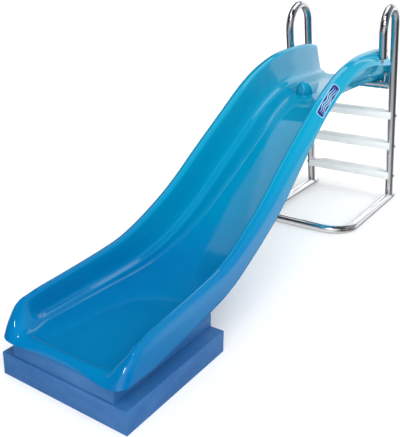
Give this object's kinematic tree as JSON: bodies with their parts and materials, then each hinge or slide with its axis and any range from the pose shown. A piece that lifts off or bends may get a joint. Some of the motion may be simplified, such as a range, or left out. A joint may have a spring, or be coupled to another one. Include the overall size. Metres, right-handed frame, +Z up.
{
  "type": "pool slide",
  "caption": "Small pool slide with a moulded trough chute, a leaning tube ladder with two hand hoops and moulded treads, a U-shaped floor tube and a stepped plinth under the exit",
  "frame": {"origin": "centre of the bounding box on the ground plane", "axes": "+Z up, +Y towards the ladder end, -Y towards the chute's exit, +X to the right of someone looking up the chute"},
  "size_m": [0.565, 2.6666, 1.1776],
  "materials": {
    "gelcoat_blue": "glossy blue gelcoat on glass-fibre laminate, wet-looking highlights",
    "stainless": "polished stainless steel tube and fittings",
    "tread_white": "moulded white plastic with fine lengthwise ribs",
    "plinth_paint": "satin mid-blue paint on a built-up block",
    "black_plastic": "dark moulded plastic plugs and fittings",
    "rubber": "dark rubber pads and gasket",
    "label_film": "printed dark blue badge with a light wave motif and no lettering"
  },
  "bodies": {
    "root": {"chute": "gelcoat_blue", "label_plate": "label_film", "water_nozzle": "gelcoat_blue", "water_spigot": "black_plastic", "spigot_gasket": "rubber", "spigot_locknut": "black_plastic", "hand_rail_left": "stainless", "hand_rail_right": "stainless", "base_frame": "stainless", "base_plug_left": "black_plastic", "base_plug_right": "black_plastic", "tread_lower": "tread_white", "tread_bolt_lower_left": "stainless", "tread_bolt_lower_right": "stainless", "tread_middle": "tread_white", "tread_bolt_middle_left": "stainless", "tread_bolt_middle_right": "stainless", "tread_upper": "tread_white", "tread_bolt_upper_left": "stainless", "tread_bolt_upper_right": "stainless", "hoop_plug_left": "black_plastic", "hoop_plug_right": "black_plastic", "hoop_bolt_left": "stainless", "hoop_bolt_right": "stainless", "crossbar": "stainless", "crossbar_sleeve_left": "stainless", "crossbar_sleeve_right": "stainless", "chute_bracket_left": "stainless", "chute_bracket_right": "stainless", "wall_bolt_left": "stainless", "wall_bolt_right": "stainless", "bar_bolt_left": "stainless", "bar_bolt_right": "stainless", "dome_nut_left": "stainless", "dome_nut_right": "stainless", "base_block_lower": "plinth_paint", "base_block_upper": "plinth_paint", "rest_pad_front": "rubber", "rest_pad_rear": "rubber"}
  },
  "joints": []
}
